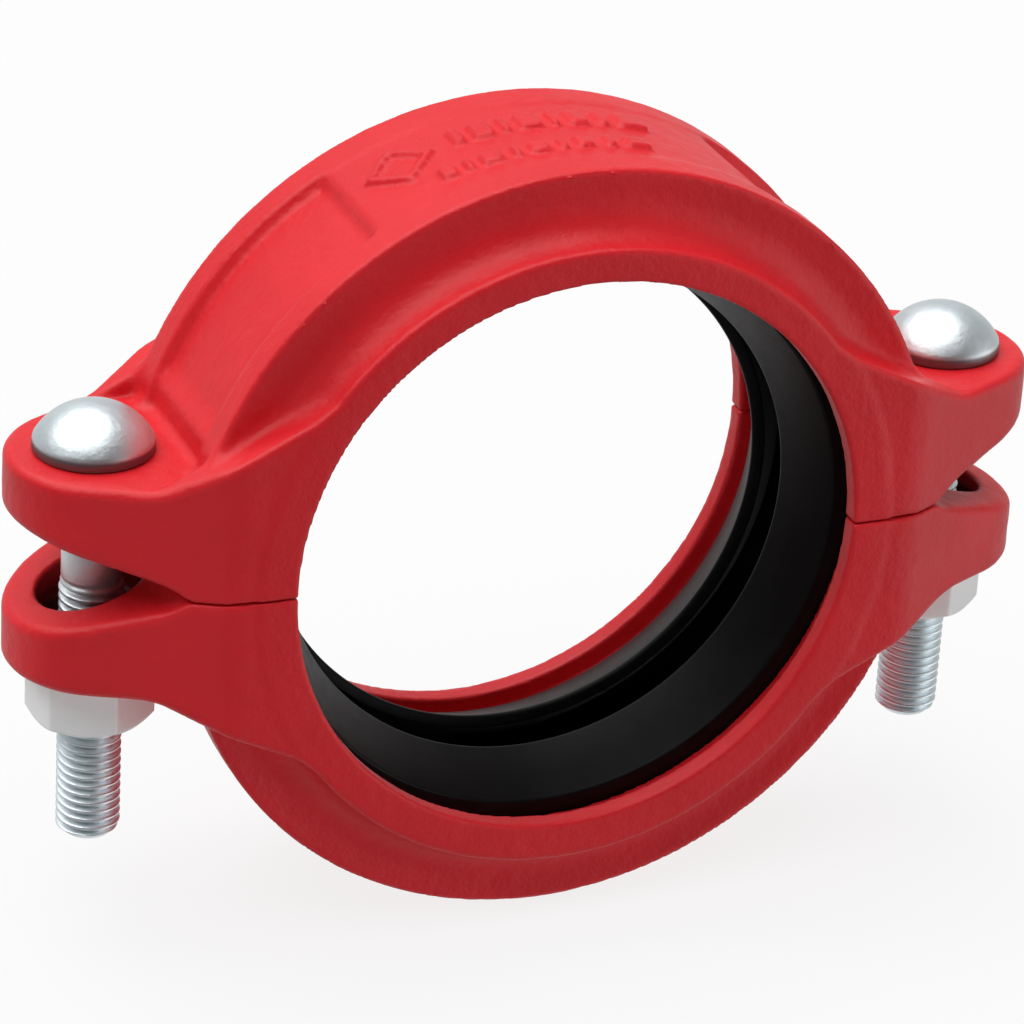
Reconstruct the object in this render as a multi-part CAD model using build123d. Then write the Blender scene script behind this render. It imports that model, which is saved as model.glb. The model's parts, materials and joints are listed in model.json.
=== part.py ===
from build123d import *
from math import cos, radians, sin, tan
import os

os.makedirs("parts", exist_ok=True)

# Rigid grooved pipe coupling for DN 100 pipe (114.3 mm outside diameter): two identical cast housing
# halves around a C-section gasket, pulled together by two oval-neck track bolts with heavy hex nuts.
# Frame: origin on the pipe axis at mid-width. X runs from bolt to bolt, Y along the pipe, and Z up along
# the bolts. All sizes are in millimetres.

# Driving dimensions of the ring
key_radius = 55.1  # inner radius of the keys, which sit in the pipe grooves
half_width = 28.15  # from mid-width to the outer face of a key
key_width = 4.35
key_flank_draft = 0.4  # the key's inner flank leans by this much, so its root is the wider end
band_radius = 61.6  # outer radius of the flat ring face round each key
crown_radius = 74.1  # outer radius of the crown, over the gasket
crown_half_width = 21.1
flare_radius = 7.5  # concave sweep from the flat ring face up to the crown's side wall
crown_edge_radius = 1.0
key_edge_radius = 0.6

# Inside of each half: a shoulder behind each key, and the gasket cavity, narrower towards its floor
shoulder_radius = 58.8  # clear of the pipe's outside
cavity_radius = 68.4
cavity_mouth_half_width = 18.0  # at the shoulders
cavity_floor_half_width = 14.5
cavity_corner_radius = 3.0

# Bolt pads
bolt_offset = 85.1  # from the pipe axis to each bolt axis
pad_height = 21.0  # from the parting face to the seat of the bolt head or nut
pad_end_centre = 82.7  # centre of the pad's round end, on X
pad_end_radius = 18.7
pad_taper_angle = 25.6  # angle in plan between the pad's side and the X axis
pad_blend_radius = 16.0  # in plan, where the pad's side runs into the ring face
gusset_ring_angle = 35.0  # where the sloping gusset leaves the ring, above the X axis
gusset_foot = 79.8  # where it reaches the seat, on X
seat_start = 68.6  # where the flat seat begins, on X
seat_width = 39.0

# Relief under each pad, which keeps the pads apart outside the parting faces
relief_start = 74.2
relief_step_x = 77.2
relief_step_z = 2.2
relief_slope_angle = 17.5

# Bolt opening: a round cored pocket on the parting side, then a slot for the bolt's oval neck
pocket_radius = 10.0
web_thickness = 9.5  # left between the pocket and the seat
slot_length = 19.0  # along X
slot_width = 13.4

# Shallow recess in the crown above each pad, which clears the bolt head
recess_depth = 2.0
recess_half_width = 14.0
recess_end_angle = 59.0  # from the X axis to the recess's upper end wall
recess_corner_radius = 2.0

# Gasket
gasket_clearance = 0.35  # all round, inside the cavity
gasket_lip_radius = 57.25  # lips pressed back by the pipe, just clear of its outside
gasket_lip_thickness = 3.6
gasket_wall = 4.4  # thickness of the heel and the sides
gasket_lip_gap = 10.0  # open width between the two lips

# Track bolts (M12) and heavy hex nuts
thread_radius = 6.0
thread_root_radius = 5.05
thread_pitch = 1.75
thread_top = -4.0
shank_radius = 5.6
bolt_tip = -57.4
tip_length = 1.2  # plain end below the last turn of thread
head_radius = 11.2
head_rim = 2.0  # straight side of the domed head
head_height = 8.8
neck_length = 17.6
neck_width = 12.6
neck_depth = 8.4
nut_across_flats = 21.0
nut_face_radius = 10.0  # of the flat end faces, inside the chamfered corners
nut_height = 12.0
nut_bore_radius = 6.06
nut_edge_chamfer_angle = 30.0
nut_bore_chamfer = 0.9
nut_turn = -24.0  # of a corner from the X axis, as tightened

reach = 2 * crown_radius  # larger than the part, for cutting blocks
margin = 1.0  # how far a cutting shape runs past the face that it cuts
same_place = 0.01  # corners closer than this are the same corner
key_inner_half_width = half_width - key_width
floor_of_pocket = pad_height - web_thickness
sides = (-1, 1)


def upper_half_space():
    """Everything above the parting plane."""
    return Box(2 * reach, reach, reach, align=(Align.CENTER, Align.CENTER, Align.MIN))


def mirrored_profile(points):
    """The closed outline through points (radius, y) on one side and their mirror images on the other."""
    return points + [(radius, -y) for radius, y in reversed(points)]


def corners_at(sketch, targets):
    """The sketch's corners that lie at the target points."""
    found = []
    for corner in sketch.vertices():
        if any(abs(corner.X - x) < same_place and abs(corner.Y - y) < same_place for x, y in targets):
            found.append(corner)
    return found


def ring_profile():
    """Section of the ring: key, flat face, concave flare, steep side wall and crown."""
    flare_centre = (band_radius + flare_radius, half_width)
    crown_corner = (crown_radius, crown_half_width)
    face = Polyline((key_radius, 0), (key_radius, half_width), (band_radius, half_width))
    flare = CenterArc(flare_centre, flare_radius, 180, 90)
    top = Polyline(flare @ 1, crown_corner, (crown_radius, 0), (key_radius, 0))
    half = make_face(Curve() + face + flare + top)
    half = fillet(corners_at(half, [crown_corner]), crown_edge_radius)
    half = fillet(corners_at(half, [(key_radius, half_width)]), key_edge_radius)
    return half + mirror(half, about=Plane.XZ)


def cavity_profile():
    """Section of the gasket cavity and the shoulders, with the space between the keys."""
    points = [
        (key_radius - margin, key_inner_half_width),
        (key_radius, key_inner_half_width),
        (shoulder_radius, key_inner_half_width - key_flank_draft),
        (shoulder_radius, cavity_mouth_half_width),
        (cavity_radius, cavity_floor_half_width),
    ]
    face = make_face(Polyline(*mirrored_profile(points), close=True))
    floor_corners = [(cavity_radius, side * cavity_floor_half_width) for side in sides]
    return fillet(corners_at(face, floor_corners), cavity_corner_radius)


def pad_plan():
    """Plan outline of the ring face and both pads."""
    normal = radians(90 - pad_taper_angle)
    tangent_x = pad_end_centre + pad_end_radius * cos(normal)
    tangent_y = pad_end_radius * sin(normal)
    shoulder_x = tangent_x - (half_width - tangent_y) / tan(radians(pad_taper_angle))
    right = Polygon(
        (0, -half_width),
        (shoulder_x, -half_width),
        (tangent_x, -tangent_y),
        (pad_end_centre, 0),
        (tangent_x, tangent_y),
        (shoulder_x, half_width),
        (0, half_width),
        align=None,
    )
    right = fillet(corners_at(right, [(shoulder_x, s * half_width) for s in sides]), pad_blend_radius)
    right += Pos(pad_end_centre, 0) * Circle(pad_end_radius)
    return right + mirror(right, about=Plane.YZ)


def pad_front():
    """Front outline of the pads and gussets, above the parting plane."""
    ring_x = band_radius * cos(radians(gusset_ring_angle))
    ring_z = band_radius * sin(radians(gusset_ring_angle))
    end = pad_end_centre + pad_end_radius
    right = Polygon(
        (0, 0),
        (end, 0),
        (end, pad_height),
        (gusset_foot, pad_height),
        (ring_x, ring_z),
        (0, ring_z),
        align=None,
    )
    return right + mirror(right, about=Plane.YZ)


def seat():
    """The space above the flat seat on the +X side, between the gussets."""
    block = Box(reach, seat_width, pad_height, align=(Align.MIN, Align.CENTER, Align.MIN))
    return Pos(seat_start, 0, pad_height) * block


def pads():
    """Both pads with their gussets, cut flat for the bolt heads or nuts."""
    blank = extrude(Plane.XZ * pad_front(), half_width, both=True) & extrude(pad_plan(), reach)
    return blank - seat() - mirror(seat(), about=Plane.YZ)


def relief():
    """The wedge removed under one pad, on the +X side."""
    end = pad_end_centre + 2 * pad_end_radius
    rise = (end - relief_step_x) * tan(radians(relief_slope_angle))
    outline = Polygon(
        (relief_start, -margin),
        (relief_start, 0),
        (relief_step_x, relief_step_z),
        (end, relief_step_z + rise),
        (end, -margin),
        align=None,
    )
    return extrude(Plane.XZ * outline, reach / 2, both=True)


def bolt_opening():
    """Pocket and neck slot for the bolt on the +X side."""
    pocket = Cylinder(pocket_radius, floor_of_pocket, align=(Align.CENTER, Align.CENTER, Align.MIN))
    slot = extrude(SlotOverall(slot_length, slot_width), 2 * pad_height)
    return Pos(bolt_offset, 0, 0) * (pocket + slot)


def recess():
    """The shallow recess in the crown above the pad on the +X side."""
    floor = crown_radius - recess_depth
    section = Pos(floor + recess_depth, 0) * Rectangle(2 * recess_depth, 2 * recess_half_width)
    floor_corners = [(floor, side * recess_half_width) for side in sides]
    section = fillet(corners_at(section, floor_corners), recess_corner_radius)
    return revolve(section, axis=Axis.Y, revolution_arc=recess_end_angle).rotate(Axis.Y, -recess_end_angle)


def housing():
    """One casting, in the upper position."""
    ring = revolve(ring_profile(), axis=Axis.Y)
    crown_cut = recess() + mirror(recess(), about=Plane.YZ)
    body = (ring - crown_cut) & upper_half_space()
    body += pads()
    body -= revolve(cavity_profile(), axis=Axis.Y)
    body -= Cylinder(key_radius, reach, rotation=(90, 0, 0))
    for cut in (relief(), bolt_opening()):
        body -= cut + mirror(cut, about=Plane.YZ)
    return body


def gasket():
    """C-section gasket, open towards the pipe, with its lips pressed back."""
    outer_radius = cavity_radius - gasket_clearance
    slope = (cavity_mouth_half_width - cavity_floor_half_width) / (cavity_radius - shoulder_radius)
    floor = cavity_floor_half_width - gasket_clearance
    mouth = floor + slope * (outer_radius - gasket_lip_radius)
    outer = [(gasket_lip_radius, mouth), (outer_radius, floor)]
    hollow_floor = outer_radius - gasket_wall
    hollow_mouth = gasket_lip_radius + gasket_lip_thickness
    hollow = [
        (gasket_lip_radius - margin, gasket_lip_gap / 2),
        (hollow_mouth, gasket_lip_gap / 2),
        (hollow_mouth, mouth - gasket_wall),
        (hollow_floor, floor - gasket_wall),
    ]
    section = make_face(Polyline(*mirrored_profile(outer), close=True))
    heel = [(outer_radius, s * floor) for s in sides]
    section = fillet(corners_at(section, heel), cavity_corner_radius)
    section -= make_face(Polyline(*mirrored_profile(hollow), close=True))
    return revolve(section, axis=Axis.Y)


def bolt():
    """Track bolt on the Z axis: domed head, oval neck, plain shank and threaded end."""
    dome = head_height - head_rim
    dome_radius = (head_radius**2 + dome**2) / (2 * dome)
    ball = Pos(0, 0, pad_height + head_height - dome_radius) * Sphere(dome_radius)
    blank = Cylinder(head_radius, head_height, align=(Align.CENTER, Align.CENTER, Align.MIN))
    head = ball & (Pos(0, 0, pad_height) * blank)
    neck = Pos(0, 0, pad_height) * extrude(SlotOverall(neck_length, neck_width), -neck_depth)
    top = pad_height - neck_depth / 2
    turns = int((thread_top - bolt_tip - tip_length) / thread_pitch)
    crest_width = thread_pitch / 8
    crest_start = (thread_pitch - crest_width) / 2
    crest_end = crest_start + crest_width
    outline = [(0, top), (shank_radius, top), (shank_radius, thread_top)]
    for turn in range(turns):
        z = thread_top - turn * thread_pitch
        outline += [(thread_root_radius, z), (thread_radius, z - crest_start), (thread_radius, z - crest_end)]
    outline += [(thread_root_radius, thread_top - turns * thread_pitch), (thread_root_radius, bolt_tip)]
    outline += [(0, bolt_tip)]
    shank = revolve(Plane.XZ * make_face(Polyline(*outline, close=True)), axis=Axis.Z)
    return head + neck + shank


def nut():
    """Heavy hex nut on the Z axis, under the lower pad."""
    corner_radius = nut_across_flats / 2 / cos(radians(30))
    prism = extrude(RegularPolygon(corner_radius, 6, rotation=nut_turn), nut_height)
    rise = (corner_radius - nut_face_radius) * tan(radians(nut_edge_chamfer_angle))
    turned = [
        (0, 0),
        (nut_face_radius, 0),
        (corner_radius, rise),
        (corner_radius, nut_height - rise),
        (nut_face_radius, nut_height),
        (0, nut_height),
    ]
    turned = revolve(Plane.XZ * make_face(Polyline(*turned, close=True)), axis=Axis.Z)
    mouth = nut_bore_radius + nut_bore_chamfer
    hole = [
        (0, -margin),
        (mouth, -margin),
        (mouth, 0),
        (nut_bore_radius, nut_bore_chamfer),
        (nut_bore_radius, nut_height - nut_bore_chamfer),
        (mouth, nut_height),
        (mouth, nut_height + margin),
        (0, nut_height + margin),
    ]
    hole = revolve(Plane.XZ * make_face(Polyline(*hole, close=True)), axis=Axis.Z)
    return Pos(0, 0, -pad_height - nut_height) * ((prism & turned) - hole)


upper = housing()
nodes = {
    "upper_housing": upper,
    "lower_housing": upper.rotate(Axis.Y, 180),
    "gasket": gasket(),
    "bolt_left": Pos(-bolt_offset, 0, 0) * bolt(),
    "bolt_right": Pos(bolt_offset, 0, 0) * bolt(),
    "nut_left": Pos(-bolt_offset, 0, 0) * nut(),
    "nut_right": Pos(bolt_offset, 0, 0) * nut(),
}
for name, shape in nodes.items():
    export_step(shape, f"parts/{name}.step")
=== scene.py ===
import json
from functools import partial
from math import atan2, ceil, cos, hypot, pi, radians, sin, tan

import bpy
import numpy as np
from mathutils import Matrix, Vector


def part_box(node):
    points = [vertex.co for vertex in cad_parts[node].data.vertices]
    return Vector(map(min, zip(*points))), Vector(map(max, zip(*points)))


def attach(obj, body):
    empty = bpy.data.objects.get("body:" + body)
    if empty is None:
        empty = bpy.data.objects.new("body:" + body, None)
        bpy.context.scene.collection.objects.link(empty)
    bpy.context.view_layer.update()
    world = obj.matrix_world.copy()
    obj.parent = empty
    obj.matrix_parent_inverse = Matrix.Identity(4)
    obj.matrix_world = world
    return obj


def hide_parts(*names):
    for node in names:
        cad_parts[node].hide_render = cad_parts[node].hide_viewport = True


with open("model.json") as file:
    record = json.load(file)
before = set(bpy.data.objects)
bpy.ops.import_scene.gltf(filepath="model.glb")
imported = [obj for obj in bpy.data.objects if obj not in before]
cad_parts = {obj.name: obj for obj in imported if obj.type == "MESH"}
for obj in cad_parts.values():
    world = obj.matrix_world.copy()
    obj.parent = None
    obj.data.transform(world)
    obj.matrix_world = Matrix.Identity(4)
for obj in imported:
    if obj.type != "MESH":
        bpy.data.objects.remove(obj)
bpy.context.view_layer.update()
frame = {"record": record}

import openvdb
from mathutils import Matrix, Vector

# Looks of a rigid grooved pipe coupling. Shapes are worked out in millimetres, in the frame's axes
# (X from bolt to bolt, Y along the pipe, Z up along the bolts), and become metres when a mesh is made.
# The castings are solids given as distances: negative inside, 0 on the surface, positive outside.
MM = 0.001


def box_mm(node):
    """A node's lowest and highest corners in millimetres."""
    low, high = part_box(node)
    return low / MM, high / MM


upper_high = box_mm("upper_housing")[1]
bolt_low, bolt_high = box_mm("bolt_left")
nut_low, nut_high = box_mm("nut_left")

# Ring of the castings
key_radius = 55.1
key_width = 4.35
key_flank_draft = 0.4
half_width = upper_high.y
band_radius = 61.6
crown_radius = upper_high.z
crown_half_width = 21.1
flare_radius = 7.5
wall_half_width = half_width - flare_radius  # of the crown's side wall at its foot
crown_edge_radius = 0.8
band_edge_radius = 1.0
key_edge_radius = 0.5
foot_growth = 1.2  # the lower casting is thicker by this much at its lowest point
parting_gap = 0.15  # between each casting and the parting plane
parting_edge_radius = 0.35

# Shoulders behind the keys, and the gasket cavity
shoulder_radius = 58.8
shoulder_corner_radius = 0.8
mouth_edge_radius = 0.8
cavity_radius = 68.4
cavity_mouth_half_width = 18.0
cavity_floor_half_width = 14.5
cavity_corner_radius = 3.0

# Bolt pads
bolt_x = (nut_low.x + nut_high.x) / -2
seat_z = -nut_high.z
pad_end_radius = 18.7
pad_end_x = upper_high.x - pad_end_radius
pad_taper = radians(25.6)
pad_blend = 1.4  # small, because the pad's sides meet the ring's faces at a shallow angle
pad_fillet_radius = 2.2  # where the pad joins the ring
pad_edge_radius = 1.9
pad_edge_start_x = 62  # the edge radius grows from the band's to the pad's between these two
pad_edge_end_x = 82
gusset_angle = radians(35)  # where the gusset leaves the ring, above the X axis
gusset_foot_x = 79.8
gusset_blend = 0.8
seat_start_x = 68.6
seat_half_width = 19.5
seat_corner_radius = 2.6
seat_edge_radius = 1.2
relief_start_x = 74.2
relief_step_x = 77.2
relief_step_z = 2.2
relief_slope = radians(17.5)
relief_corner_radius = 0.4
relief_edge_radii = (0.4, 1.6)  # at the relief's start, and from relief_edge_length further out
relief_edge_length = 8
pocket_radius = 10.0
pocket_floor_z = seat_z - 9.5
pocket_corner_radius = 1.6
slot_half_length = 9.5
slot_half_width = 6.7
opening_edge_radius = 1.0

# Recess in the crown above each pad
recess_depth = 2.0
recess_half_width = 14.0
recess_end_angle = radians(60.5)
recess_end_slope = 4.0  # length of the slope up to the crown
recess_corner_radius = 2.0
recess_lip_radius = 0.8

# Raised marks on top of the upper casting: a diamond outline, and rows of (y, half height, bars), where each
# bar is its (start, end) along the arc from the top towards -X
mark_height = 1.0
mark_stroke = 1.6
mark_slope = 0.8  # width of a mark's sloping side
mark_corner_radius = 0.5
back_bars = [(17.5, 15.2), (13.4, 9.6), (7.8, 6.4), (4.4, 0.2)]
back_bars += [(-1.8, -3.2), (-5.2, -9), (-11, -13), (-15, -21)]
front_bars = [(24, 21), (19.2, 17.8), (16, 12), (10, 8.6), (6.6, 3)]
front_bars += [(1, -0.4), (-2.4, -5.6), (-8, -10), (-12, -17)]
mark_rows = [(4.4, 3.1, back_bars), (-7.4, 2.1, front_bars)]
diamond_centre = (28.5, 2.2)
diamond_half_width = 6.0


def round_max(a, b, radius):
    """The overlap of two solids given as distances, with its edge rounded to the radius."""
    inside = np.minimum(np.maximum(a, b), -radius)
    return inside + np.hypot(np.maximum(a + radius, 0), np.maximum(b + radius, 0))


def round_min(a, b, radius):
    """Two solids joined, with a fillet of the radius between them."""
    return -round_max(-a, -b, radius)


def blend_step(value, start, end):
    """0 before start, 1 after end, and smooth between."""
    t = np.clip((value - start) / (end - start), 0, 1)
    return t * t * (3 - 2 * t)


def ring_field(r, side):
    """Crown joined by the concave flare to the key ring, which is left as wide as the space."""
    lean = (crown_half_width - wall_half_width) / (crown_radius - band_radius - flare_radius)
    wall = side - wall_half_width - lean * (r - band_radius - flare_radius)
    crown = round_max(r - crown_radius, wall, crown_edge_radius)
    return round_min(crown, r - band_radius, flare_radius)


def pad_plan_field(across, side):
    """Tapered tongue with a round end, as wide as the ring at its root."""
    normal = pi / 2 - pad_taper
    out = across - pad_end_x
    line = out * cos(normal) + side * sin(normal) - pad_end_radius
    end = np.hypot(out, side) - pad_end_radius
    past_line = out * sin(normal) - side * cos(normal)
    tongue = np.where(past_line > 0, end, line)
    return round_max(tongue, side - half_width, pad_blend)


def pad_field(across, side, height):
    """One pad with its gussets, and the flat seat sunk between them."""
    gusset_x = band_radius * cos(gusset_angle)
    gusset_z = band_radius * sin(gusset_angle)
    fall = atan2(gusset_z - seat_z, gusset_foot_x - gusset_x)
    gusset = (across - gusset_foot_x) * sin(fall) + (height - seat_z) * cos(fall)
    gusset = np.maximum(gusset, height - gusset_z)
    seat = round_max(seat_start_x - across, side - seat_half_width, seat_corner_radius)
    gusset = round_max(gusset, -seat, seat_edge_radius)
    top = round_min(height - seat_z, gusset, gusset_blend)
    growth = blend_step(across, pad_edge_start_x, pad_edge_end_x)
    edge = band_edge_radius + (pad_edge_radius - band_edge_radius) * growth
    return round_max(pad_plan_field(across, side), top, edge)


def inside_field(r, side):
    """What is hollow behind the keys: the shoulders, and the gasket cavity, narrower towards its floor."""
    slope = (cavity_mouth_half_width - cavity_floor_half_width) / (cavity_radius - shoulder_radius)
    flank = (side - cavity_mouth_half_width + slope * (r - shoulder_radius)) / hypot(1, slope)
    cavity = round_max(flank, r - cavity_radius, cavity_corner_radius)
    draft = key_flank_draft / (shoulder_radius - key_radius)
    key_flank = side - half_width + key_width + draft * (r - key_radius)
    shoulders = round_max(key_flank, r - shoulder_radius, shoulder_corner_radius)
    return np.minimum(cavity, shoulders)


def recess_field(r, across, side, height):
    """Shallow recess in the crown, from the pad up to its end, where the floor slopes up."""
    to_end = across * sin(recess_end_angle) - height * cos(recess_end_angle)
    rise = recess_depth * (1 - blend_step(to_end, 0, recess_end_slope))
    above_floor = crown_radius - recess_depth + rise - r
    return round_max(side - recess_half_width, above_floor, recess_corner_radius)


def relief_field(across, height):
    """Wedge that keeps the pads apart outside the parting faces."""
    step = atan2(relief_step_z, relief_step_x - relief_start_x)
    first = height * cos(step) - (across - relief_start_x) * sin(step)
    second = (height - relief_step_z) * cos(relief_slope) - (across - relief_step_x) * sin(relief_slope)
    return round_max(first, second, relief_corner_radius)


def opening_field(across, side, height):
    """Cored pocket on the parting side and the slot for the bolt's oval neck."""
    out = across - bolt_x
    pocket = round_max(np.hypot(out, side) - pocket_radius, height - pocket_floor_z, pocket_corner_radius)
    reach = slot_half_length - slot_half_width
    slot = np.hypot(np.maximum(np.abs(out) - reach, 0), side) - slot_half_width
    return np.minimum(pocket, slot)


def mark_swell(x, y, z):
    """Height of the raised marks, wrapped round the crown, with sloping sides."""
    along = crown_radius * np.arctan2(-x, np.maximum(z, 1.0))
    flat = np.full(np.broadcast(x, y, z).shape, crown_radius, dtype=np.float32)
    for row_y, half_height, bars in mark_rows:
        for start, end in bars:
            middle, half_length = (start + end) / 2, abs(start - end) / 2
            bar = round_max(
                np.abs(along - middle) - half_length, np.abs(y - row_y) - half_height, mark_corner_radius
            )
            flat = np.minimum(flat, bar)
    from_centre = np.abs(along - diamond_centre[0]) + np.abs(y - diamond_centre[1])
    diamond = (from_centre - diamond_half_width) / 2**0.5
    flat = np.minimum(flat, np.abs(diamond) - mark_stroke / 2)
    return mark_height * blend_step(-flat, -mark_slope / 2, mark_slope / 2)


def housing_field(x, y, z, growth, marked):
    """One casting in its upper place. growth is its extra thickness at the middle."""
    across, side = np.abs(x), np.abs(y)
    r = np.hypot(x, z)
    swell = growth * np.maximum(z, 0) / np.maximum(r, 1)
    if marked:
        swell = swell + mark_swell(x, y, z) * (z > 0)
    ring = ring_field(r - swell, side)
    ring = round_max(ring, -recess_field(r - swell, across, side, z), recess_lip_radius)
    body = round_min(ring, pad_field(across, side, z), pad_fillet_radius)
    body = round_max(body, side - half_width, band_edge_radius)
    body = round_max(body, -inside_field(r, side), mouth_edge_radius)
    body = round_max(body, key_radius - r, key_edge_radius)
    sharp, soft = relief_edge_radii
    edge = sharp + (soft - sharp) * blend_step(across, relief_start_x, relief_start_x + relief_edge_length)
    body = round_max(body, -relief_field(across, z), edge)
    body = round_max(body, -opening_field(across, side, z), opening_edge_radius)
    return round_max(body, parting_gap - z, parting_edge_radius)


def settle(points, field, cell):
    """Moves points near the surface onto it, along the field's slope."""
    gap = cell / 8  # for measuring the slope
    least_steepness = 0.25
    for _ in range(3):
        slope = np.empty_like(points)
        for axis in range(3):
            ahead, behind = points.copy(), points.copy()
            ahead[:, axis] += gap
            behind[:, axis] -= gap
            slope[:, axis] = (field(*ahead.T) - field(*behind.T)) / (2 * gap)
        value = np.clip(field(*points.T), -cell / 2, cell / 2)
        steepness = np.maximum((slope**2).sum(axis=1), least_steepness)
        points = points - slope * (value / steepness)[:, None]
    return points


def field_mesh(name, field, low, high, cell):
    """A mesh of the field's surface, from a grid of that cell size."""
    counts = [ceil((high[k] - low[k]) / cell) + 1 for k in range(3)]
    axes = [(low[k] + cell * np.arange(counts[k])).astype(np.float32) for k in range(3)]
    values = field(*np.meshgrid(*axes, indexing="ij", sparse=True))
    limit = 3 * cell  # distances further from the surface aren't needed
    grid = openvdb.FloatGrid(limit)
    grid.copyFromArray(np.clip(values, -limit, limit).astype(np.float32))
    points, quads = grid.convertToQuads(0.0)
    points = settle(np.array(low) + points * cell, field, cell) * MM
    mesh = bpy.data.meshes.new(name)
    mesh.vertices.add(len(points))
    mesh.vertices.foreach_set("co", points.astype(np.float32).ravel())
    mesh.loops.add(quads.size)
    mesh.loops.foreach_set("vertex_index", quads.astype(np.int32).ravel())
    mesh.polygons.add(len(quads))
    mesh.polygons.foreach_set("loop_start", np.arange(0, quads.size, 4, dtype=np.int32))
    mesh.update(calc_edges=True)
    mesh.validate()
    return mesh


def lattice_noise(points, size, seed):
    """Smooth random values from 0 to 1 at points, from a seeded lattice of that spacing."""
    scaled = (points - points.min(axis=0)) / size
    cells = np.floor(scaled).astype(int)
    t = scaled - cells
    t = t * t * (3 - 2 * t)
    lattice = np.random.default_rng(seed).random(cells.max(axis=0) + 2)
    total = np.zeros(len(points))
    for corner in np.ndindex(2, 2, 2):
        weight = np.prod(np.where(np.array(corner) == 1, t, 1 - t), axis=1)
        i, j, k = (cells + corner).T
        total += weight * lattice[i, j, k]
    return total


def roughen(mesh, layers):
    """Sinks the surface by smooth noise, one layer for each (depth, size, seed)."""
    count = len(mesh.vertices)
    points, normals = np.empty(count * 3), np.empty(count * 3)
    mesh.vertices.foreach_get("co", points)
    mesh.vertices.foreach_get("normal", normals)
    points, normals = points.reshape(-1, 3), normals.reshape(-1, 3)
    depth = sum(d * MM * lattice_noise(points, size * MM, seed) for d, size, seed in layers)
    mesh.vertices.foreach_set("co", (points - normals * depth[:, None]).ravel())
    mesh.update()


def new_piece(name, mesh, material, node):
    """A smooth shaded object for the mesh, which stands for a CAD node and moves with its body."""
    piece = bpy.data.objects.new(name, mesh)
    bpy.context.scene.collection.objects.link(piece)
    mesh.materials.append(material)
    mesh.polygons.foreach_set("use_smooth", [True] * len(mesh.polygons))
    mesh.update()
    bodies = frame["record"]["behaviour"]["bodies"]
    body = next(b for b, members in bodies.items() if node in members)
    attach(piece, body)
    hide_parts(node)


def round_points(x, radius, z, turn):
    """Points round a vertical axis at x, one for each angle. radius and z may change with the angle."""
    radius, z = np.broadcast_to(radius, len(turn)), np.broadcast_to(z, len(turn))
    return np.stack([x + radius * np.cos(turn), radius * np.sin(turn), z], 1)


def lathe_mesh(name, rings, loop=False):
    """A closed mesh through rings of equal point counts. A loop joins the last ring to the first;
    otherwise each end closes on its own middle point."""
    count, sides = len(rings), len(rings[0])
    points = np.concatenate(rings)
    index = np.arange(count * sides).reshape(count, sides)
    nxt = np.roll(index, -1, axis=1)
    rows = range(count) if loop else range(count - 1)
    faces = [np.stack([index[i], nxt[i], nxt[(i + 1) % count], index[(i + 1) % count]], 1) for i in rows]
    faces = np.concatenate(faces).tolist()
    if not loop:
        ends = [rings[0].mean(axis=0), rings[-1].mean(axis=0)]
        first, last = len(points), len(points) + 1
        points = np.vstack([points, ends])
        faces += [(first, b, a) for a, b in zip(index[0], nxt[0])]
        faces += [(last, a, b) for a, b in zip(index[-1], nxt[-1])]
    mesh = bpy.data.meshes.new(name)
    mesh.from_pydata((points * MM).tolist(), [], faces)
    mesh.validate()
    mesh.update()
    return mesh


def round_corners(corners, steps=6):
    """A closed outline through (a, b, radius) corners, each rounded by an arc of that radius."""
    outline = []
    for i, (a, b, radius) in enumerate(corners):
        here = np.array([a, b])
        before = np.array(corners[i - 1][:2]) - here
        after = np.array(corners[(i + 1) % len(corners)][:2]) - here
        before, after = before / np.linalg.norm(before), after / np.linalg.norm(after)
        half = np.arccos(np.clip(before @ after, -1, 1)) / 2
        middle = (before + after) / np.linalg.norm(before + after)
        centre = here + middle * radius / sin(half)
        start = here + before * radius / tan(half) - centre
        end = here + after * radius / tan(half) - centre
        first, turn = atan2(start[1], start[0]), atan2(end[1], end[0]) - atan2(start[1], start[0])
        turn = (turn + pi) % (2 * pi) - pi
        for step in range(steps + 1):
            angle = first + turn * step / steps
            outline.append(centre + radius * np.array([cos(angle), sin(angle)]))
    return outline


# Gasket, with its lips relaxed
gasket_clearance = 0.35
front_tip_radius = 49.9
back_tip_radius = 48.9


def gasket_side(tip_radius):
    """One side of the section, as (radius, distance from mid-width, corner radius)."""
    return [
        (cavity_radius - gasket_clearance, cavity_floor_half_width - gasket_clearance, 3.0),
        (57.2, cavity_mouth_half_width + 0.2, 0.9),
        (55.1, 18.3, 0.7),
        (tip_radius, 5.1, 0.8),
        (tip_radius + 2.5, 4.5, 0.6),
        (58.4, 13.4, 1.4),
        (63.7, 11.9, 1.6),
    ]


def gasket_mesh(sides=288):
    """The section's back side and its mirrored front side, turned about the pipe's axis."""
    front = [(r, -y, fillet) for r, y, fillet in reversed(gasket_side(front_tip_radius))]
    outline = round_corners(gasket_side(back_tip_radius) + front)
    turn = np.linspace(0, 2 * pi, sides, endpoint=False)
    rings = [np.stack([r * np.cos(turn), np.full(sides, y), r * np.sin(turn)], 1) for r, y in outline]
    return lathe_mesh("gasket_mesh", rings, loop=True)


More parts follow.
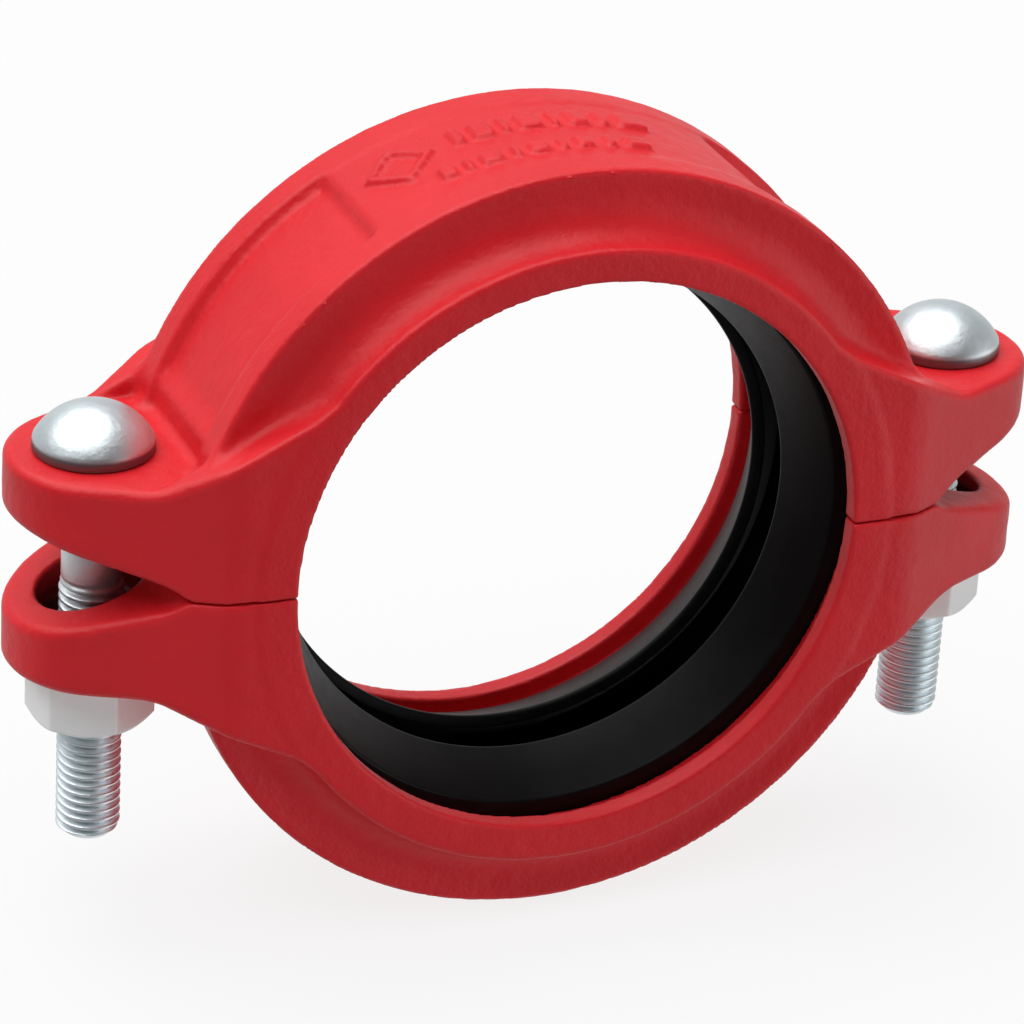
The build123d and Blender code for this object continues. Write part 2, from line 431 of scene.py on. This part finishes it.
# M12 track bolts
thread_radius = 6.0
thread_root_radius = 5.05
thread_pitch = 1.75
thread_steps = 14  # rings for each turn
thread_top_z = -4.0
thread_runout = 1.2 * thread_pitch
ridge_crest, ridge_flank = 1.18, 2.6  # height at a ridge's middle and its slope, cut off at 1 and 0
tip_radius = thread_root_radius - 0.6
tip_dimple_radii, tip_dimple_depth = (1.2, 3.4), 0.15
tip_chamfer_length, tip_chamfer_depth = 1.5, 1.6
shank_radius = 5.6
neck_half_length = 8.8
neck_half_width = 6.3
neck_depth = 8.4
neck_swell = 0.9  # height of the curve from the shank out to the neck
neck_fillet = 0.3
head_radius = (bolt_high.x - bolt_low.x) / 2
head_rim = 2.0
head_edge_radius = 0.4

# Heavy hex nuts
nut_half_flats = 10.5
nut_turn = radians(-24)  # of a corner from the X axis
nut_corner_cut = 0.12
nut_chamfer = radians(30)
nut_face_edge = 0.08
nut_bore_radius = 6.06
nut_mouth_depth = 0.9
nut_thread_depth = 0.35


def slot_radius(turn, half_length, half_width):
    """Radius of a round-ended slot's outline, seen from its centre, at each angle."""
    reach = half_length - half_width
    c, s = np.abs(np.cos(turn)), np.abs(np.sin(turn))
    flat = half_width / np.maximum(s, 1e-6)
    arc = reach * c + np.sqrt(np.maximum(half_width**2 - (reach * s) ** 2, 0))
    return np.where(flat * c <= reach, flat, arc)


def bolt_mesh(name, x, sides=96):
    """Tip, thread, shank, oval neck and domed head as rings, from the bottom up."""
    turn = np.linspace(0, 2 * pi, sides, endpoint=False)
    tip_z, top_z = bolt_low.z, bolt_high.z
    rings = []

    def ring(radius, z):
        rings.append(round_points(x, radius, z, turn))

    for radius in tip_dimple_radii:
        ring(radius, tip_z + tip_dimple_depth)
    ring(tip_radius, tip_z)
    for z in np.arange(tip_z + 0.3, thread_top_z, thread_pitch / thread_steps):
        phase = (z / thread_pitch + turn / (2 * pi)) % 1.0
        ridge = blend_step(ridge_crest - ridge_flank * np.abs(phase - 0.5), 0, 1)
        fade = float(blend_step(thread_top_z - z, 0, thread_runout))
        root = shank_radius + (thread_root_radius - shank_radius) * fade
        radius = root + (thread_radius - root) * ridge * fade
        chamfer = tip_radius + (z - tip_z) / tip_chamfer_length * tip_chamfer_depth
        ring(np.minimum(radius, chamfer), z)
    neck_bottom = seat_z - neck_depth
    for z in np.linspace(thread_top_z, neck_bottom - 1.0, 8):
        ring(shank_radius, z)
    neck = slot_radius(turn, neck_half_length, neck_half_width)
    for t in np.linspace(0, pi / 2, 7):
        ring(shank_radius + (neck - shank_radius) * sin(t), neck_bottom - cos(t) * neck_swell)
    for z in np.linspace(neck_bottom + 0.6, seat_z - 0.5, 6):
        ring(neck, z)
    ring(neck + neck_fillet, seat_z)
    ring((neck + head_radius) / 2, seat_z)
    for t in np.linspace(0, pi / 2, 5):
        ring(head_radius - head_edge_radius * (1 - sin(t)), seat_z + head_edge_radius * (1 - cos(t)))
    ring(head_radius, seat_z + head_rim - 0.5)
    dome = top_z - seat_z - head_rim
    dome_radius = (head_radius**2 + dome**2) / (2 * dome)
    edge_angle = np.arcsin(head_radius / dome_radius)
    for t in np.linspace(0.97, 0.03, 30):
        ring(dome_radius * sin(edge_angle * t), top_z - dome_radius + dome_radius * cos(edge_angle * t))
    return lathe_mesh(name, rings)


def nut_mesh(name, x, sides=192):
    """Hexagon with turned faces, and a threaded bore that stays clear of the bolt. Rings run up the
    outside and down the bore."""
    turn = np.linspace(0, 2 * pi, sides, endpoint=False)
    from_flat = (turn - nut_turn) % (pi / 3) - pi / 6
    hexagon = np.minimum(nut_half_flats / np.cos(from_flat), nut_half_flats / cos(pi / 6) - nut_corner_cut)
    washer_radius = nut_half_flats * 0.96
    washer_edge = np.minimum(washer_radius + 0.1, hexagon)
    drop = np.maximum(hexagon - washer_radius, 0) * tan(nut_chamfer)
    low, high = nut_low.z, nut_high.z
    mouth = nut_bore_radius + nut_mouth_depth
    face = mouth + (washer_radius - 0.25 - mouth) * np.linspace(0, 1, 5)
    chamfer = [
        (washer_radius + (hexagon - washer_radius) * t, drop * t + nut_face_edge) for t in (0.35, 0.7, 1.0)
    ]
    rings = []

    def ring(radius, z):
        rings.append(round_points(x, radius, z, turn))

    for radius in face:
        ring(radius, low)
    ring(washer_edge, low + nut_face_edge)
    for radius, depth in chamfer:
        ring(radius, low + depth)
    for t in np.linspace(0.06, 0.94, 14):
        ring(hexagon, (low + drop) * (1 - t) + (high - drop) * t)
    for radius, depth in reversed(chamfer):
        ring(radius, high - depth)
    ring(washer_edge, high - nut_face_edge)
    for radius in reversed(face):
        ring(radius, high)
    for z in np.arange(high - nut_mouth_depth, low + nut_mouth_depth, -thread_pitch / 10):
        phase = (z / thread_pitch + turn / (2 * pi)) % 1.0
        ring(nut_bore_radius + nut_thread_depth * (1 - 2 * np.abs(phase - 0.5)), z)
    return lathe_mesh(name, rings, loop=True)


class Nodes:
    """Short forms for building a material's node tree."""

    def __init__(self, name):
        self.material = bpy.data.materials.new(name)
        self.material.use_nodes = True
        self.tree = self.material.node_tree
        self.tree.nodes.clear()
        self.shader = self.add("ShaderNodeBsdfPrincipled")
        output = self.add("ShaderNodeOutputMaterial")
        self.link(self.shader, "BSDF", output, "Surface")
        self.place = self.add("ShaderNodeTexCoord")

    def add(self, kind, **inputs):
        """A node with those input values."""
        node = self.tree.nodes.new(kind)
        for key, value in inputs.items():
            node.inputs[key.replace("_", " ")].default_value = value
        return node

    def link(self, source, out, target, into):
        self.tree.links.new(source.outputs[out], target.inputs[into])

    def noise(self, size_mm, detail=2.0, rough=0.5):
        """Noise with features of about that size, fixed to the object."""
        node = self.add("ShaderNodeTexNoise", Scale=1 / (size_mm * MM), Detail=detail, Roughness=rough)
        self.link(self.place, "Object", node, "Vector")
        return node

    def ramp(self, source, out, stops):
        """A colour ramp of (position, colour) stops."""
        node = self.add("ShaderNodeValToRGB")
        self.link(source, out, node, "Fac")
        elements = node.color_ramp.elements
        while len(elements) < len(stops):
            elements.new(0.5)
        for element, (position, colour) in zip(elements, stops):
            element.position = position
            element.color = (*colour, 1)
        return node

    def spread(self, source, out, low, high):
        """Maps a value from 0 to 1 onto low to high."""
        node = self.add("ShaderNodeMapRange", To_Min=low, To_Max=high)
        self.link(source, out, node, "Value")
        return node

    def bump(self, source, out, depth_mm, before=None):
        """Adds relief of that depth, on top of an earlier bump if there is one."""
        node = self.add("ShaderNodeBump", Strength=1.0, Distance=depth_mm * MM)
        self.link(source, out, node, "Height")
        if before:
            self.link(before, "Normal", node, "Normal")
        return node

    def split(self):
        """The object's own coordinates, apart."""
        node = self.add("ShaderNodeSeparateXYZ")
        self.link(self.place, "Object", node, "Vector")
        return node

    def maths(self, operation, first, second=0.0):
        """A maths node on numbers or (node, output) pairs."""
        node = self.add("ShaderNodeMath")
        node.operation = operation
        for socket, value in zip(node.inputs, (first, second)):
            if isinstance(value, tuple):
                self.tree.links.new(value[0].outputs[value[1]], socket)
            else:
                socket.default_value = value
        return node

    def times(self, first, second):
        """Two nodes' colours multiplied."""
        node = self.add("ShaderNodeVectorMath")
        node.operation = "MULTIPLY"
        self.link(first, "Color", node, 0)
        self.link(second, "Color", node, 1)
        return node

    def set(self, **values):
        """Constants for the shader's own inputs."""
        for key, value in values.items():
            self.shader.inputs[key.replace("_", " ")].default_value = value


def grey(value):
    """A colour with no hue."""
    return (value, value, value)


def painted_pocket_shade(n):
    """Painted shade: dark inside the cored pockets, where the pads shade them, and white elsewhere."""
    place = n.split()
    across = n.maths("ABSOLUTE", (place, "X"))
    out = n.maths("SUBTRACT", (across, "Value"), bolt_x * MM)
    out_squared = n.maths("MULTIPLY", (out, "Value"), (out, "Value"))
    side_squared = n.maths("MULTIPLY", (place, "Y"), (place, "Y"))
    total = n.maths("ADD", (out_squared, "Value"), (side_squared, "Value"))
    from_bolt = n.maths("SQRT", (total, "Value"))
    # painted shade on the pocket walls, fading out just past the pocket's radius
    dark_until, bright_from = (pocket_radius - 0.4) * MM, (pocket_radius + 0.9) * MM
    edge = n.add("ShaderNodeMapRange", From_Min=dark_until, From_Max=bright_from)
    n.link(from_bolt, "Value", edge, "Value")
    return n.ramp(edge, "Result", [(0.0, grey(0.12)), (1.0, grey(1.0))])


def paint_material():
    """Red enamel over an as-cast surface: peel, fine grain, small changes of shade and gloss, and painted
    shade inside the cored pockets.
    """
    n = Nodes("red_paint")
    cloud = n.noise(22, detail=3)
    colour = n.ramp(cloud, "Fac", [(0.3, (0.65, 0.013, 0.020)), (0.7, (0.72, 0.016, 0.024))])
    # the base colour carries painted shade inside the cored pockets
    n.link(n.times(colour, painted_pocket_shade(n)), "Vector", n.shader, "Base Color")
    gloss = n.spread(n.noise(5, detail=3), "Fac", 0.34, 0.52)
    n.link(gloss, "Result", n.shader, "Roughness")
    peel = n.bump(n.noise(1.8, detail=2), "Fac", 0.15)
    grain = n.bump(n.noise(0.7, detail=3, rough=0.6), "Fac", 0.07, before=peel)
    n.link(grain, "Normal", n.shader, "Normal")
    n.set(Specular_IOR_Level=0.32)
    return n.material


def rubber_material():
    """Moulded black rubber with a faint bloom and a fine grain."""
    n = Nodes("black_rubber")
    dark, pale = (0.003, 0.003, 0.0036), (0.006, 0.006, 0.0066)
    colour = n.ramp(n.noise(9, detail=4), "Fac", [(0.3, dark), (0.75, pale)])
    n.link(colour, "Color", n.shader, "Base Color")
    gloss = n.spread(n.noise(3, detail=3), "Fac", 0.36, 0.5)
    n.link(gloss, "Result", n.shader, "Roughness")
    grain = n.bump(n.noise(0.5, detail=2), "Fac", 0.015)
    n.link(grain, "Normal", n.shader, "Normal")
    n.set(Specular_IOR_Level=0.12, Sheen_Weight=0.1, Sheen_Roughness=0.35)
    return n.material


def paint_rim_reflection(n, tint):
    """Painted reflection: darkens the straight side of a bolt's head, where it reflects dark surroundings.
    """
    height = n.add("ShaderNodeMapRange", From_Min=seat_z * MM, From_Max=(seat_z + 2 * head_rim) * MM)
    n.link(n.split(), "Z", height, "Value")
    # painted dark reflection on the head's straight side, lighter again on the dome
    dark = grey(0.22)
    shade = n.ramp(height, "Result", [(0.0, grey(1.0)), (0.02, dark), (0.42, dark), (0.56, grey(0.8))])
    n.link(n.times(tint, shade), "Vector", n.shader, "Base Color")


def zinc_material(name, shade, smoothest, roughest, metallic, rim=False):
    """Zinc plated steel, with a slightly uneven and dimpled plate. A bolt's head gets a painted dark
    reflection on its rim.
    """
    n = Nodes(name)
    paler = tuple(min(1, channel * 1.08) for channel in shade)
    tint = n.ramp(n.noise(4, detail=4), "Fac", [(0.3, shade), (0.7, paler)])
    if rim:
        paint_rim_reflection(n, tint)
    else:
        n.link(tint, "Color", n.shader, "Base Color")
    gloss = n.spread(n.noise(1.6, detail=4), "Fac", smoothest, roughest)
    n.link(gloss, "Result", n.shader, "Roughness")
    pits = n.bump(n.noise(1.5, detail=3, rough=0.6), "Fac", 0.09)
    n.link(pits, "Normal", n.shader, "Normal")
    n.set(Metallic=metallic)
    return n.material


def floor_material():
    """Matt white that also glows a little, so that shadows on it stay faint."""
    n = Nodes("pale_floor")
    n.set(Base_Color=(*grey(0.12), 1), Roughness=1.0, Specular_IOR_Level=0.0)
    n.set(Emission_Color=(*grey(1.0), 1), Emission_Strength=0.83)
    return n.material


cast_roughness = [(0.09, 3.1), (0.06, 1.5)]  # (depth, size) of each layer


def make_housings():
    """Both castings. The lower one is turned over about the pipe's axis."""
    cell = 0.76  # fine enough for the marks, and under 200,000 triangles each
    margin = 2.0
    low = (-upper_high.x - margin, -half_width - margin, -margin)
    high = (upper_high.x + margin, half_width + margin, crown_radius + margin)
    paint = paint_material()
    for node, lower, seed in (("upper_housing", False, 11), ("lower_housing", True, 23)):
        field = partial(housing_field, growth=foot_growth if lower else 0.0, marked=not lower)
        mesh = field_mesh(node + "_mesh", field, low, high, cell)
        roughen(mesh, [(depth, size, seed + i) for i, (depth, size) in enumerate(cast_roughness)])
        if lower:
            mesh.transform(Matrix.Rotation(pi, 4, "Y"))
        new_piece(node + "_casting", mesh, paint, node)


def make_gasket():
    new_piece("gasket_ring", gasket_mesh(), rubber_material(), "gasket")


def make_fasteners():
    """A bolt and a nut on each side."""
    # rim=True paints a dark reflection on each head's straight side
    bolt_zinc = zinc_material("zinc_bolt", (0.82, 0.90, 0.94), 0.36, 0.5, 0.9, rim=True)
    nut_zinc = zinc_material("zinc_nut", (0.95, 0.98, 0.98), 0.36, 0.5, 0.1)
    for side, x in (("left", -bolt_x), ("right", bolt_x)):
        bolt = bolt_mesh(f"bolt_{side}_mesh", x)
        new_piece(f"track_bolt_{side}", bolt, bolt_zinc, f"bolt_{side}")
        nut = nut_mesh(f"nut_{side}_mesh", x)
        new_piece(f"hex_nut_{side}", nut, nut_zinc, f"nut_{side}")


def make_stage():
    """Pale floor that the ring stands on, hidden from reflections and bounced light."""
    reach = 6.0
    mesh = bpy.data.meshes.new("floor_mesh")
    z = -(crown_radius + foot_growth) * MM
    corners = [(-reach, -reach, z), (reach, -reach, z), (reach, reach, z), (-reach, reach, z)]
    mesh.from_pydata(corners, [], [(0, 1, 2, 3)])
    mesh.materials.append(floor_material())
    floor = bpy.data.objects.new("floor", mesh)
    floor.visible_diffuse = False
    floor.visible_glossy = False
    bpy.context.scene.collection.objects.link(floor)


def add_lamp(name, energy, spread, direction):
    """A soft lamp far away in that direction."""
    data = bpy.data.lights.new(name, "SUN")
    data.energy, data.angle = energy, radians(spread)
    lamp = bpy.data.objects.new(name, data)
    lamp.rotation_euler = Vector(direction).to_track_quat("Z", "Y").to_euler()
    bpy.context.scene.collection.objects.link(lamp)
    return lamp


def make_light():
    """A dim room, lighter behind and below, with a broad soft lamp overhead and weak ones in front and
    on the right. World strength is even_strength plus a gradient along lighter_towards."""
    even_strength, lighter_towards = 0.37, (0.1, 0.3, -0.26)
    world = bpy.data.worlds.new("studio")
    world.use_nodes = True
    tree = world.node_tree
    direction = tree.nodes.new("ShaderNodeTexCoord")
    slope = tree.nodes.new("ShaderNodeVectorMath")
    slope.operation = "DOT_PRODUCT"
    slope.inputs[1].default_value = lighter_towards
    strength = tree.nodes.new("ShaderNodeMath")
    strength.inputs[1].default_value = even_strength
    tree.nodes["Background"].inputs["Color"].default_value = (1, 1, 1, 1)
    tree.links.new(direction.outputs["Generated"], slope.inputs[0])
    tree.links.new(slope.outputs["Value"], strength.inputs[0])
    tree.links.new(strength.outputs["Value"], tree.nodes["Background"].inputs["Strength"])
    bpy.context.scene.world = world
    add_lamp("overhead", 3.4, 78, (-0.24, 0.1, 0.95))
    add_lamp("right_fill", 0.85, 60, (0.85, -0.5, -0.1))
    fill = add_lamp("front_fill", 0.95, 50, (-0.5, -0.85, -0.05))
    fill.visible_glossy = False
    bpy.context.scene.view_settings.view_transform = "Standard"


def make_camera():
    """A viewpoint left of the pipe axis and above it, slightly rolled."""
    yaw, pitch, roll = radians(23.582), radians(25.774), radians(3.459)
    distance = 0.890685
    lens, sensor_width = 166.536, 36
    shift_x, shift_y = -0.0133, -0.01526
    back = Vector((-sin(yaw) * cos(pitch), -cos(yaw) * cos(pitch), sin(pitch)))
    right = Vector((cos(yaw), -sin(yaw), 0))
    up = back.cross(right)
    rolled_right = right * cos(roll) + up * sin(roll)
    rolled_up = up * cos(roll) - right * sin(roll)
    data = bpy.data.cameras.new("camera")
    data.lens, data.sensor_width = lens, sensor_width
    data.shift_x, data.shift_y = shift_x, shift_y
    data.clip_start, data.clip_end = 0.05, 50
    camera = bpy.data.objects.new("camera", data)
    turn = Matrix((rolled_right, rolled_up, back)).transposed().to_4x4()
    camera.matrix_world = Matrix.Translation(back * distance) @ turn
    bpy.context.scene.collection.objects.link(camera)
    bpy.context.scene.camera = camera


make_housings()
make_gasket()
make_fasteners()
make_stage()
make_light()
make_camera()
